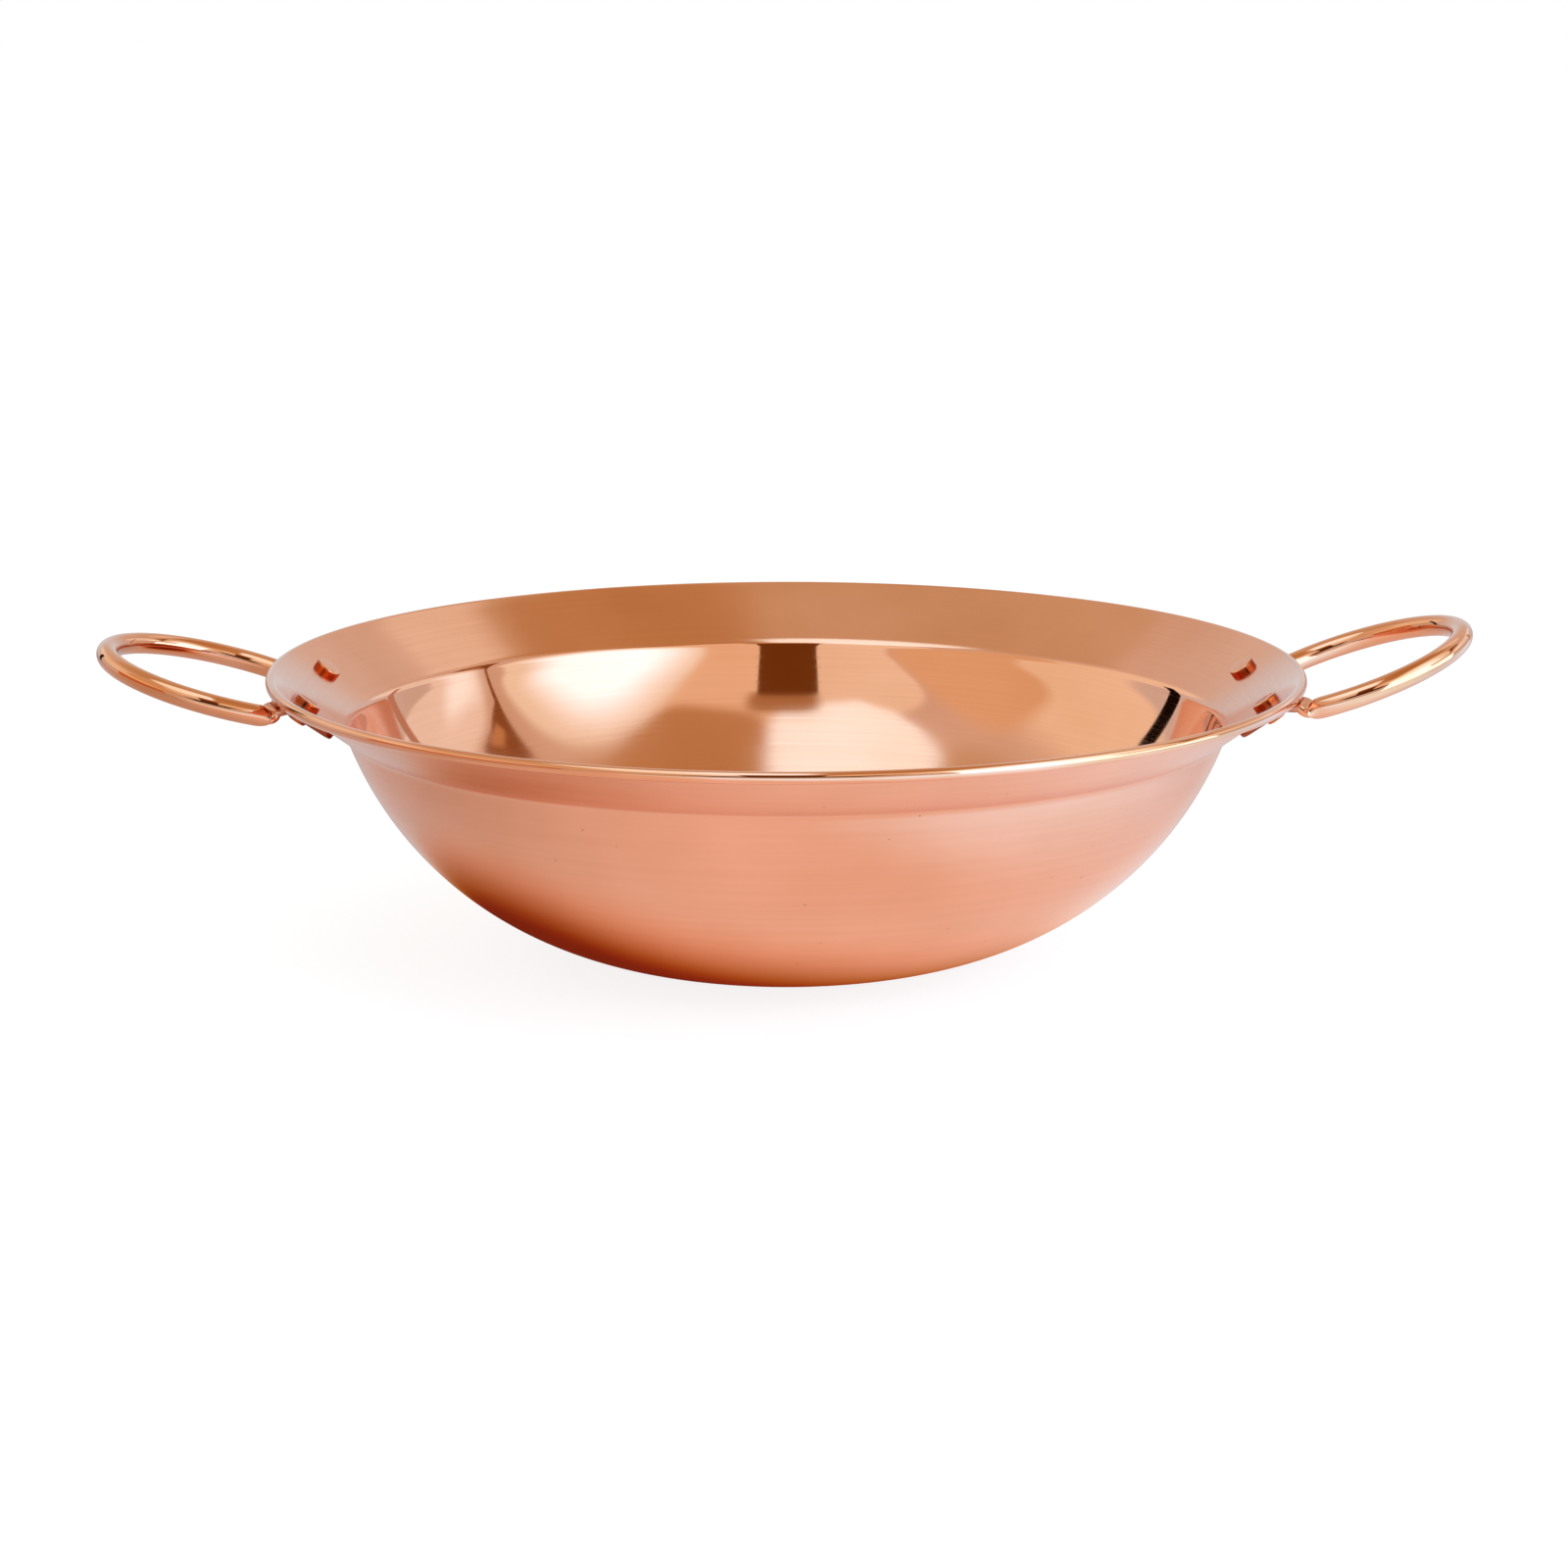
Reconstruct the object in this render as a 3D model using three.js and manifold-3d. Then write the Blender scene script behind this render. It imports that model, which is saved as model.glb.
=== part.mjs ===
// A wide pot with a flared flange: a pressed bowl, two wire handles and the four rivets
// that hold the handles' flattened ends under the flange.
// Millimetres, +Z up. The origin is the middle of the base, on the table.
// The handles stand out along X, and the pot's front is towards -Y.
import * as THREE from 'three';
import { mergeVertices } from 'three/addons/utils/BufferGeometryUtils.js';
import Module from 'manifold-3d';

// Bowl: sizes along the sheet are taken at mid thickness
const POT_HEIGHT = 67.5; // table to the top of the rim
const BASE_DIAMETER = 52; // flat that stands on the table
const MOUTH_DIAMETER = 203.5; // corner where the wall turns into the flange
const FLANGE_WIDTH = 18.25; // that corner out to the rim's edge
const RIM_DIAMETER = MOUTH_DIAMETER + 2 * FLANGE_WIDTH; // over the rolled rim
const FLANGE_DROP = 13; // top of the rim down to that corner
const MOUTH_BEND = 4; // radius of the bend that rounds the corner
const SHEET = 1; // thickness of the metal
const BEAD_DIAMETER = 2.6; // rolled rim, turned under so that its top runs on from the flange

// Rivets
const RIVET_SPREAD = 43.6; // between the two rivets of one handle
const RIVET_INSET = 8.5; // rivet centre in from the rim's edge
const SHANK_DIAMETER = 3;
const HEAD_DIAMETER = 6.2; // flat head on the flange's upper face
const HEAD_HEIGHT = 1.1;
const TAIL_DIAMETER = 4.8; // end formed under the tang
const TAIL_HEIGHT = 1;
const HEAD_EDGE = 0.6; // radius that rounds the edge of a head or a tail

// Handles
const WIRE_DIAMETER = 5;
const RIGHT_RISE = 20; // degrees that a bow climbs away from the rim; each was bent by hand
const LEFT_RISE = 15.5; // degrees, as above
const TOE_IN = 23; // degrees that the two ends of a handle lean in towards the pot's axis
const RIGHT_BEND_OUT = 3; // the right bow's bend starts this far outside the rim's edge
const LEFT_BEND_OUT = 2.5; // as above, for the left bow
const RIGHT_PASS = 1.6; // from the rolled rim's underside down to the line of the wire's top
const LEFT_PASS = 2.4; // as above, for the lower bow
const NOSE_OUT = 1.5; // the wire's blunt nose starts this far outside the rim's edge
const NOSE_LENGTH = 2.5; // from there to the full round wire
const NECK_WIDTH = 6.5; // flat neck between tang and nose
const NECK_LIFT = 2; // middle of the neck above the line of the wire's middle, below the rim
const TANG_WIDTH = 10.6; // flattened end of the wire
const TANG_THICKNESS = 1.6; // of tang and neck
const TANG_END = 6.8; // rivet centre to the tip of the tang
const TANG_CORNER = 2.6; // rounded corners of the tip

// Clearances
const SEAT_GAP = 0.3; // between two faces that are riveted together
const HOLE_GAP = 0.3; // round a shank, all the way
const CUTTER_REACH = SHEET + 2 * (TANG_THICKNESS + SEAT_GAP); // a hole's cutter, each way from its seat

// Facets
const BOWL_SEGMENTS = 80;
const WALL_STEPS = 10;
const BEND_STEPS = 3;
const BEAD_STEPS = 9;
const RIVET_SEGMENTS = 18;
const EDGE_STEPS = 4;
const WIRE_SIDES = 14;
const HALF_BOW_STEPS = 16;
const TIP_STEPS = 4;
const JOGGLE_STEPS = 6;
const NECK_STEPS = 3;
const NOSE_STEPS = 4;

const COPPER = '#d8926f';
const SATIN = 0.25; // roughness of the brushed bowl
const POLISHED = 0.12; // and of the wire and rivets
const RIGHT_ANGLE = Math.PI / 2;
const { clamp, degToRad, lerp, smoothstep } = THREE.MathUtils;
const UP = new THREE.Vector3(0, 0, 1);

const rimRadius = RIM_DIAMETER / 2;
const beadRadius = BEAD_DIAMETER / 2;
const halfSheet = SHEET / 2;
const bead = new THREE.Vector2(rimRadius - beadRadius, POT_HEIGHT - beadRadius);
const mouth = new THREE.Vector2(MOUTH_DIAMETER / 2, POT_HEIGHT - FLANGE_DROP);
const baseEdge = new THREE.Vector2(BASE_DIAMETER / 2, halfSheet);
const toBead = bead.clone().sub(mouth);
const flangeSlope = toBead.angle() + Math.asin((beadRadius - halfSheet) / toBead.length());

const wasm = await Module();
wasm.setup();

// A closed geometry as a solid that can be cut. Faces that shrink to a line on an axis are dropped.
function solidOf(geometry) {
  const plain = geometry.clone();
  plain.deleteAttribute('normal');
  plain.deleteAttribute('uv');
  const merged = mergeVertices(plain);
  const corners = merged.index.array;
  const triangles = [];
  for (let i = 0; i < corners.length; i += 3) {
    const [a, b, c] = corners.slice(i, i + 3);
    if (a !== b && b !== c && c !== a) triangles.push(a, b, c);
  }
  const vertProperties = new Float32Array(merged.attributes.position.array);
  const triVerts = new Uint32Array(triangles);
  return new wasm.Manifold(new wasm.Mesh({ numProp: 3, vertProperties, triVerts }));
}

function geometryOf(solid) {
  const { vertProperties, triVerts } = solid.getMesh();
  const geometry = new THREE.BufferGeometry();
  geometry.setAttribute('position', new THREE.BufferAttribute(new Float32Array(vertProperties), 3));
  geometry.setIndex(new THREE.BufferAttribute(new Uint32Array(triVerts), 1));
  geometry.computeVertexNormals();
  return geometry;
}

// A profile of (radius, height) points turned round the Z axis
function turned(profile, segments) {
  return new THREE.LatheGeometry(profile, segments).rotateX(RIGHT_ANGLE);
}

function pieceOf(name, geometry, roughness) {
  const material = new THREE.MeshStandardMaterial({ color: COPPER, roughness, metalness: 1 });
  const mesh = new THREE.Mesh(geometry, material);
  mesh.name = name;
  return mesh;
}

// Steps along the sheet's mid line, from the axis out to the rolled rim. Each holds a place and
// the direction the sheet runs in there.
function sheetLine() {
  const run = mouth.clone().sub(baseEdge);
  const wallRadius = run.lengthSq() / (2 * run.y);
  const wallCentre = new THREE.Vector2(baseEdge.x, baseEdge.y + wallRadius);
  const along = new THREE.Vector2(Math.cos(flangeSlope), Math.sin(flangeSlope));
  const below = new THREE.Vector2(along.y, -along.x);

  // The bend touches the flange on its lower side and the wall on its outer side.
  const offset = mouth.clone().addScaledVector(below, MOUTH_BEND).sub(wallCentre);
  const ahead = offset.dot(along);
  const reach = (wallRadius + MOUTH_BEND) ** 2 - offset.lengthSq();
  const bendCentre = offset.addScaledVector(along, Math.sqrt(ahead ** 2 + reach) - ahead).add(wallCentre);
  const toBend = bendCentre.clone().sub(wallCentre);
  const wallEnd = Math.atan2(toBend.y, toBend.x);

  const steps = [{ place: new THREE.Vector2(0, halfSheet), heading: 0 }];
  for (let i = 0; i <= WALL_STEPS; i += 1) {
    const angle = lerp(-RIGHT_ANGLE, wallEnd, i / WALL_STEPS);
    const outward = new THREE.Vector2(Math.cos(angle), Math.sin(angle));
    const place = outward.multiplyScalar(wallRadius).add(wallCentre);
    steps.push({ place, heading: angle + RIGHT_ANGLE });
  }
  const wallHeading = wallEnd + RIGHT_ANGLE;
  for (let i = 1; i <= BEND_STEPS; i += 1) {
    const heading = lerp(wallHeading, flangeSlope, i / BEND_STEPS);
    const outward = new THREE.Vector2(-Math.sin(heading), Math.cos(heading));
    steps.push({ place: outward.multiplyScalar(MOUTH_BEND).add(bendCentre), heading });
  }
  return steps;
}

// The bowl's section: out along the lower face, round the rolled rim and back along the upper face
function bowlProfile() {
  const steps = sheetLine();
  const face = (side) => steps.map(({ place, heading }) => {
    const across = new THREE.Vector2(-Math.sin(heading), Math.cos(heading));
    return across.multiplyScalar(side * halfSheet).add(place);
  });
  // The roll leaves the lower face, goes round underneath and ends flush with the upper face.
  const leaving = Math.PI - Math.asin((beadRadius - SHEET) / beadRadius);
  const flush = 2 * Math.PI + RIGHT_ANGLE;
  const rolled = [];
  for (let i = 0; i <= BEAD_STEPS; i += 1) {
    const angle = flangeSlope + lerp(leaving, flush, i / BEAD_STEPS);
    const round = new THREE.Vector2(Math.cos(angle), Math.sin(angle));
    rolled.push(round.multiplyScalar(beadRadius).add(bead));
  }
  return [...face(-1), ...rolled, ...face(1).reverse()];
}

// Where a rivet goes through the flange, in its handle's own frame (X away from the pot, side 1
// or -1 across it): X up the flange, Z square to it, origin at mid thickness
function seatOf(side) {
  const radius = rimRadius - RIVET_INSET;
  const height = mouth.y + (radius - mouth.x) * Math.tan(flangeSlope);
  const azimuth = side * Math.asin(RIVET_SPREAD / 2 / radius);
  const seat = new THREE.Matrix4().makeRotationZ(azimuth);
  seat.multiply(new THREE.Matrix4().makeTranslation(radius, 0, height));
  return seat.multiply(new THREE.Matrix4().makeRotationY(-flangeSlope));
}

function holeCutter(seat) {
  const depth = 2 * CUTTER_REACH;
  const radius = SHANK_DIAMETER / 2 + HOLE_GAP;
  const cutter = new THREE.CylinderGeometry(radius, radius, depth, RIVET_SEGMENTS).rotateX(RIGHT_ANGLE);
  return solidOf(cutter.applyMatrix4(seat));
}

// A rivet, on its seat's frame: tail, shank and flat head, the two ends with rounded edges
function rivetGeometry() {
  const headSeat = halfSheet + SEAT_GAP;
  const tailSeat = -halfSheet - SEAT_GAP - TANG_THICKNESS - SEAT_GAP;
  const cap = (seat, radius, height, way) => {
    const edge = Math.min(HEAD_EDGE, height);
    const points = [new THREE.Vector2(radius, seat)];
    for (let i = height > edge ? 0 : 1; i <= EDGE_STEPS; i += 1) {
      const angle = RIGHT_ANGLE * (i / EDGE_STEPS);
      const across = radius - edge * (1 - Math.cos(angle));
      points.push(new THREE.Vector2(across, seat + way * (height - edge * (1 - Math.sin(angle)))));
    }
    return [...points, new THREE.Vector2(0, seat + way * height)];
  };
  const shank = [tailSeat, headSeat].map((height) => new THREE.Vector2(SHANK_DIAMETER / 2, height));
  const tail = cap(tailSeat, TAIL_DIAMETER / 2, TAIL_HEIGHT, -1).reverse();
  return turned([...tail, ...shank, ...cap(headSeat, HEAD_DIAMETER / 2, HEAD_HEIGHT, 1)], RIVET_SEGMENTS);
}

// A tube whose section changes along its length. Each station has the section's middle, the way up
// there, its width and its thickness; a flat section keeps round edges.
function lofted(stations) {
  const last = stations.length - 1;
  const halfSide = Math.PI / WIRE_SIDES;
  // A plain cylinder, 1 tall, gives the grid: its height at a corner tells the station.
  const tube = new THREE.CylinderGeometry(1, 1, 1, WIRE_SIDES, last, false, halfSide);
  const position = tube.attributes.position;
  const frames = stations.map(({ up }, i) => {
    const before = stations[Math.max(i - 1, 0)].middle;
    const after = stations[Math.min(i + 1, last)].middle;
    const forward = after.clone().sub(before).normalize();
    const across = up.clone().cross(forward).normalize();
    return { across, upright: forward.clone().cross(across) };
  });
  for (let i = 0; i < position.count; i += 1) {
    const step = Math.round((0.5 - position.getY(i)) * last);
    const { middle, width, thickness } = stations[step];
    const { across, upright } = frames[step];
    const sideways = position.getX(i);
    const round = thickness / 2 / Math.cos(halfSide);
    const flat = Math.sign(sideways) * (width - thickness) / 2;
    const point = middle.clone().addScaledVector(across, flat + round * sideways);
    point.addScaledVector(upright, round * position.getZ(i));
    position.setXYZ(i, point.x, point.y, point.z);
  }
  return tube;
}

// Distance from a point, along a heading, to a circle round the pot's axis
function distanceToCircle(from, heading, radius) {
  const ahead = from.dot(heading);
  return Math.sqrt(ahead ** 2 - from.lengthSq() + radius ** 2) - ahead;
}

// Half the tang's width at a distance from its tip
function tangHalfWidth(fromTip) {
  const past = Math.max(TANG_CORNER - fromTip, 0);
  return TANG_WIDTH / 2 - TANG_CORNER + Math.sqrt(TANG_CORNER ** 2 - past ** 2);
}

// Sections along half a handle, in its own frame, from the tip of its tang to the crown of its bow.
// The tang lies on the flange's underside, a joggle takes it below the rolled rim, a flat neck drops
// to the line of the wire, and a blunt nose makes it round. The bow climbs away from the rim.
function halfHandle(riseDegrees, rimPass, bendOut) {
  const rise = degToRad(riseDegrees);
  const toe = degToRad(TOE_IN);
  const seat = seatOf(1);
  const tangUp = UP.clone().transformDirection(seat);
  const tang = new THREE.Vector3(0, 0, -halfSheet - SEAT_GAP - TANG_THICKNESS / 2).applyMatrix4(seat);

  // In plan the end is a straight line out from the rivet. These are distances along it.
  const start = new THREE.Vector2(tang.x, tang.y);
  const heading = new THREE.Vector2(Math.cos(toe), Math.sin(toe));
  const tip = -TANG_END;
  const seatEnd = TAIL_DIAMETER / 2 + SEAT_GAP;
  const underRim = distanceToCircle(start, heading, rimRadius - beadRadius);
  const noseStart = distanceToCircle(start, heading, rimRadius + NOSE_OUT);
  const bowStart = distanceToCircle(start, heading, rimRadius + bendOut);

  // Line of the wire's middle
  const passing = start.x + heading.x * underRim;
  const passHeight = POT_HEIGHT - BEAD_DIAMETER - rimPass - WIRE_DIAMETER / 2 / Math.cos(rise);
  const wireHeight = (x) => passHeight + (x - passing) * Math.tan(rise);

  // The bow is one arc in its own tilted plane, tangent to both ends.
  const bowUp = new THREE.Vector3(-Math.sin(rise), 0, Math.cos(rise));
  const outward = new THREE.Vector3(Math.cos(rise), 0, Math.sin(rise));
  const bend = heading.clone().multiplyScalar(bowStart).add(start);
  const bowToe = Math.atan(Math.tan(toe) * Math.cos(rise));
  const bowTurn = RIGHT_ANGLE + bowToe;
  const bowRadius = bend.y / Math.cos(bowToe);
  const bowCentre = new THREE.Vector3(bend.x, 0, wireHeight(bend.x));
  bowCentre.addScaledVector(outward, bowRadius * Math.sin(bowToe));
  const crown = bowStart + bowRadius * bowTurn;

  const middleAt = (along) => {
    if (along > bowStart) {
      const angle = bowTurn - (along - bowStart) / bowRadius;
      const middle = bowCentre.clone().addScaledVector(outward, bowRadius * Math.cos(angle));
      return middle.setY(bowRadius * Math.sin(angle));
    }
    const shift = heading.clone().multiplyScalar(along);
    const { x, y } = start.clone().add(shift);
    const tangHeight = tang.z - (tangUp.x * shift.x + tangUp.y * shift.y) / tangUp.z;
    const joggled = lerp(tangHeight, wireHeight(x) + NECK_LIFT, smoothstep(along, seatEnd, underRim));
    return new THREE.Vector3(x, y, lerp(joggled, wireHeight(x), smoothstep(along, underRim, noseStart)));
  };
  const stationAt = (along) => {
    const drop = smoothstep(along, seatEnd, underRim);
    const toRound = 1 - clamp((along - noseStart) / NOSE_LENGTH, 0, 1);
    const round = Math.sqrt(1 - toRound ** 2);
    const flatWidth = lerp(2 * tangHalfWidth(along - tip), NECK_WIDTH, drop);
    return {
      middle: middleAt(along),
      up: tangUp.clone().lerp(bowUp, drop).normalize(),
      width: lerp(flatWidth, WIRE_DIAMETER, round),
      thickness: lerp(TANG_THICKNESS, WIRE_DIAMETER, round),
    };
  };

  const evenly = (from, to, steps) => Array.from({ length: steps }, (_, i) => lerp(from, to, i / steps));
  const rounding = (from, reach, steps) => {
    const turns = evenly(0, RIGHT_ANGLE, steps);
    return turns.map((turn) => from + reach * (1 - Math.cos(turn)));
  };
  return [
    ...rounding(tip, TANG_CORNER, TIP_STEPS),
    tip + TANG_CORNER,
    ...evenly(seatEnd, underRim, JOGGLE_STEPS),
    ...evenly(underRim, noseStart, NECK_STEPS),
    ...rounding(noseStart, NOSE_LENGTH, NOSE_STEPS),
    ...evenly(noseStart + NOSE_LENGTH, crown, HALF_BOW_STEPS),
    crown,
  ].map(stationAt);
}

// One handle in its own frame: the half above, and its mirror image past the crown
function handleGeometry(riseDegrees, rimPass, bendOut) {
  const half = halfHandle(riseDegrees, rimPass, bendOut);
  const across = new THREE.Vector3(1, -1, 1);
  const mirrored = half.slice(0, -1).reverse().map(({ middle, up, width, thickness }) => {
    return { middle: middle.clone().multiply(across), up: up.clone().multiply(across), width, thickness };
  });
  const wire = solidOf(lofted([...half, ...mirrored]));
  return geometryOf(wire.subtract(holeCutter(seatOf(1))).subtract(holeCutter(seatOf(-1))));
}

const pot = new THREE.Group();
let bowl = solidOf(turned(bowlProfile(), BOWL_SEGMENTS));

// Each handle has its own group, turned to its side of the pot.
const rightBow = [RIGHT_RISE, RIGHT_PASS, RIGHT_BEND_OUT];
const leftBow = [LEFT_RISE, LEFT_PASS, LEFT_BEND_OUT];
const handles = [
  { side: 'right', facing: 0, bow: rightBow, seats: { back: 1, front: -1 } },
  { side: 'left', facing: Math.PI, bow: leftBow, seats: { back: -1, front: 1 } },
];
for (const { side, facing, bow, seats } of handles) {
  const group = new THREE.Group();
  group.rotation.z = facing;
  group.add(pieceOf(`handle_${side}`, handleGeometry(...bow), POLISHED));
  for (const [place, across] of Object.entries(seats)) {
    const rivet = pieceOf(`rivet_${side}_${place}`, rivetGeometry(), POLISHED);
    rivet.applyMatrix4(seatOf(across));
    group.add(rivet);
    const seatOnBowl = new THREE.Matrix4().makeRotationZ(facing).multiply(seatOf(across));
    bowl = bowl.subtract(holeCutter(seatOnBowl));
  }
  pot.add(group);
}
pot.add(pieceOf('bowl', geometryOf(bowl), SATIN));

export default pot;
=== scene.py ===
"""Dresses a wide two-handled pot in copper-coloured metal over its solids, and sets its stage."""
import math

import bmesh
import bpy
from bpy.props import FloatProperty, FloatVectorProperty, PointerProperty
from mathutils import Matrix, Vector


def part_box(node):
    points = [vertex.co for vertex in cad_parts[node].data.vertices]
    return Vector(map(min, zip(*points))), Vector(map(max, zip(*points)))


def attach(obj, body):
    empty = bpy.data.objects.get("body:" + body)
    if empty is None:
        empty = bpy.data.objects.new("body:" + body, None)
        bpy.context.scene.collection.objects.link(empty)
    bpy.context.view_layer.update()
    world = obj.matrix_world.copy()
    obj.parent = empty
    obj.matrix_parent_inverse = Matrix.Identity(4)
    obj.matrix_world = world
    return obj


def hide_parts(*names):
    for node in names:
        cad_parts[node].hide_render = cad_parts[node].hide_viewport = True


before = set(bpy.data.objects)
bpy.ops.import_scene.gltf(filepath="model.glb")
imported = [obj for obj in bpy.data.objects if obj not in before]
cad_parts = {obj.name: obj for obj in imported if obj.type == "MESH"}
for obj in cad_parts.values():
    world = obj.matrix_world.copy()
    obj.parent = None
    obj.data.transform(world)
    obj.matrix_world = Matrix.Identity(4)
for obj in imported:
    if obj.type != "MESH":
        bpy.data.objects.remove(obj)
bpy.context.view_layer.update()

bl_info = {
    "name": "Copper Pot",
    "version": (1, 0, 0),
    "blender": (4, 5, 0),
    "location": "View3D > Sidebar > Pot",
    "description": "Builds a wide copper-coloured pot with two riveted wire handles, and its stage",
    "category": "Add Mesh",
}

MM = 0.001
BODY = "root"
RIGHT_ANGLE = math.pi / 2
UP = Vector((0, 0, 1))

# Edges that turn further than this stay sharp, and points this near to the axis lie on it
SHARP_TURN = math.radians(40)
ON_AXIS = 1e-9

# How finely each form is divided
BOWL_TURNS = 288
WALL_STEPS = 64
BEND_STEPS = 12
FLANGE_STEPS = 12
BEAD_STEPS = 28
BASE_STEPS = 6
RIVET_TURNS = 48
EDGE_STEPS = 12
WIRE_SIDES = 40
HALF_BOW_STEPS = 72
TIP_STEPS = 10
JOGGLE_STEPS = 20
NECK_STEPS = 10
NOSE_STEPS = 12

# Marks of wheels and polishing: the radius at which their length is measured, and how much a step outwards
# counts beside a step up, so that no two rings of the bowl share a mark
MARK_RADIUS = 80 * MM
MARK_SLANT = 0.6

# Between which levels of the noise the plating goes from tone to tone, and the marks from gloss to satin
TONE_RANGE = (0.35, 0.65)
GLOSS_RANGE = (0.25, 0.75)

# Pin-holes in the plating: their colour, and how much of it shows
PIT_COLOUR = "#7A3A1C"
PIT_DEPTH = 0.45

# Inside the bowl: heights between which the buffing gets better, and roughness added below them
BUFFED_FROM = (25 * MM, 50 * MM)
DULLED_BY = 0.1

# The map along the wire, the length and width of the die's lines on it, and between which distances from
# its tips the painted shade on its ends, under the flange, fades out
WIRE_UV = "along_wire"
DIE_LINES = (12 * MM, 0.5 * MM, 1)
PAINTED_SHADE_ENDS = (13 * MM, 18 * MM)

# Size of the uneven marks that a rivet set leaves
SET_MARK = 1.2 * MM

# Half the side of the square floor in metres, and the width of the camera's sensor in millimetres
FLOOR_REACH = 6
SENSOR_WIDTH = 36


def oblong(left, front, right, back):
    """Corners of a sheet that lies square to the stage."""
    return [(left, front), (right, front), (right, back), (left, back)]


# Cards over the stage that the polished metal shows: name, tint, strength, how much of the way from edge
# to middle the edge fades, height, and corners; later ones hang in front. All lengths are in metres.
CARD_GAP = 2 * MM
CARDS = [
    ("ceiling", "#FBFFFA", 0.83, 0, 1, oblong(-3, -3, 3, 3)),
    ("dark_room", "#FFC69F", 0.02, 0, 1, oblong(-0.8, -3, 0.8, -1.55)),
    ("left_wall", "#F1FFF5", 1.2, 0.35, 1, oblong(-3.4, -2.2, -0.9, 3.6)),
    ("left_panel", "#FFF6D5", 0.9, 0.25, 1, oblong(-1.95, -1.8, -0.74, 0.15)),
    ("left_front", "#EEFFFA", 1.22, 0.12, 1, oblong(-0.82, -1.6, 0.05, -0.45)),
    ("right_front", "#FCFFEE", 1.05, 0.1, 1, oblong(-0.1, -1.6, 0.75, -0.4)),
    ("back_board", "#FFF7D8", 0.72, 0.2, 1, [(-0.9, -0.2), (0.85, -0.2), (0.85, 0.75), (-0.9, 0.95)]),
    ("board", "#FFE0A7", 0.62, 0.18, 1, oblong(0.02, -0.66, 0.66, 0.62)),
    ("pane", "#EFFFFE", 1.16, 0.2, 1, oblong(0.27, 0.57, 0.83, 1.1)),
    ("window_edge", "#DAF3FF", 1.5, 0.12, 1, oblong(1.3, 0.32, 3.4, 3.4)),
    ("window", "#BCE5FF", 2.5, 0.8, 1, oblong(1.8, 0.2, 3.4, 1.4)),
    ("beam", "#FFB666", 0.3, 0, 1, [
        (2.65, 0.21), (2.65, 0.25), (1.84, 0.29), (1.5, 0.5), (1.36, 0.73), (1.12, 0.6),
        (0.98, 0.42), (0.98, 0.3), (1.4, 0.27), (1.84, 0.24)]),
    ("beam_patch", "#FFD99F", 0.69, 0, 1, [(1.52, 0.4), (1.36, 0.6), (1.24, 0.47), (1.36, 0.36)]),
    ("scrim", "#B8E3FF", 2.8, 0.2, 1, [
        (-0.15, -0.68), (0.1, -0.55), (0.1, 0.1), (-0.58, 0.1), (-0.6, -0.2), (-0.5, -0.5),
        (-0.33, -0.7)]),
    ("flag_foot", "#FFD799", 0.5, 0.35, 1, oblong(-0.2, -0.82, 0.22, -0.56)),
    ("flag", "#FFAE4F", 0.19, 0, 1, [(-0.26, -1.55), (0.2, -1.55), (0.14, -0.75), (-0.17, -0.75)]),
    ("softbox_edge", "#DEFBFF", 1.5, 0.12, 0.48, oblong(0.22, -0.76, 1.04, 0.11)),
    ("softbox", "#A2D4FF", 4.4, 0.6, 0.48, oblong(0.22, -0.7, 0.9, 0.05)),
]

# Cards that stand round the stage for the wires and the mouth: name, tint, strength, height and ends
STANDS = [
    ("side_softbox", "#AAD9FF", 6, 0.5, [(0.33, -0.52), (0.8, -0.28)]),
    ("low_softbox", "#AAD9FF", 5, 0.3, [(0.8, -0.28), (0.95, 0.14)]),
    ("brown_wall", "#FFB06A", 0.72, 0.6, [(-2.05, -1.9), (-2.05, 0.3)]),
    ("dark_post", "#FFBC95", 0.01, 0.95, [(-1.9, 1.66), (-1.72, 1.85)]),
    ("brown_post", "#FFDAC6", 0.6, 0.95, [(1.66, 1.87), (1.77, 1.77)]),
]

# How the metal sees the floor. The pot's own shade is a circle, stretched and shifted to an oval. Where
# it is full, where it ends and what it leaves are in red, green and blue: light off copper loses blue first.
SHADE_STRETCH = (0.8, 1, 1)
SHADE_SHIFT = (17 * MM, 0, 0)
SHADE_FULL = (40 * MM, 45 * MM, 51 * MM)
SHADE_END = (76 * MM, 85 * MM, 87 * MM)
SHADE_LEAST = (0.25, 0.03, 0.01)

# Ways along which the floor grows dim: the way, where that starts and ends, and what is left
FLOOR_DIMS = [
    ((-0.8, 0.6, 0), -55 * MM, 100 * MM, 0.66),
    ((0.5, 0.87, 0), 20 * MM, 140 * MM, 0.8),
]

# The way to the light on the floor, and between which places the floor grows bright
LIGHT_WAY = (0.8, -0.6, 0)
LIT_EDGE = (92 * MM, 190 * MM)

# Material slots of the bowl, in order
OUTSIDE, RIM, FLANGE, INSIDE = range(4)

# Material slots of a rivet, in order
RIVET_TOP, RIVET_SIDE = range(2)


def linear(hex_colour):
    """An sRGB hex colour as linear red, green, blue and an alpha of 1."""
    channels = [int(hex_colour[i:i + 2], 16) / 255 for i in (1, 3, 5)]
    return [c / 12.92 if c <= 0.04045 else ((c + 0.055) / 1.055) ** 2.4 for c in channels] + [1.0]


def length(name, description, millimetres):
    """A property for a size, given in millimetres and kept in metres."""
    return FloatProperty(name=name, description=description, default=millimetres * MM, min=0.0,
                         unit="LENGTH", subtype="DISTANCE", precision=5)


def angle(name, description, degrees):
    """A property for an angle, given in degrees and kept in radians."""
    return FloatProperty(name=name, description=description, default=math.radians(degrees),
                         unit="ROTATION", subtype="ANGLE")


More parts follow.
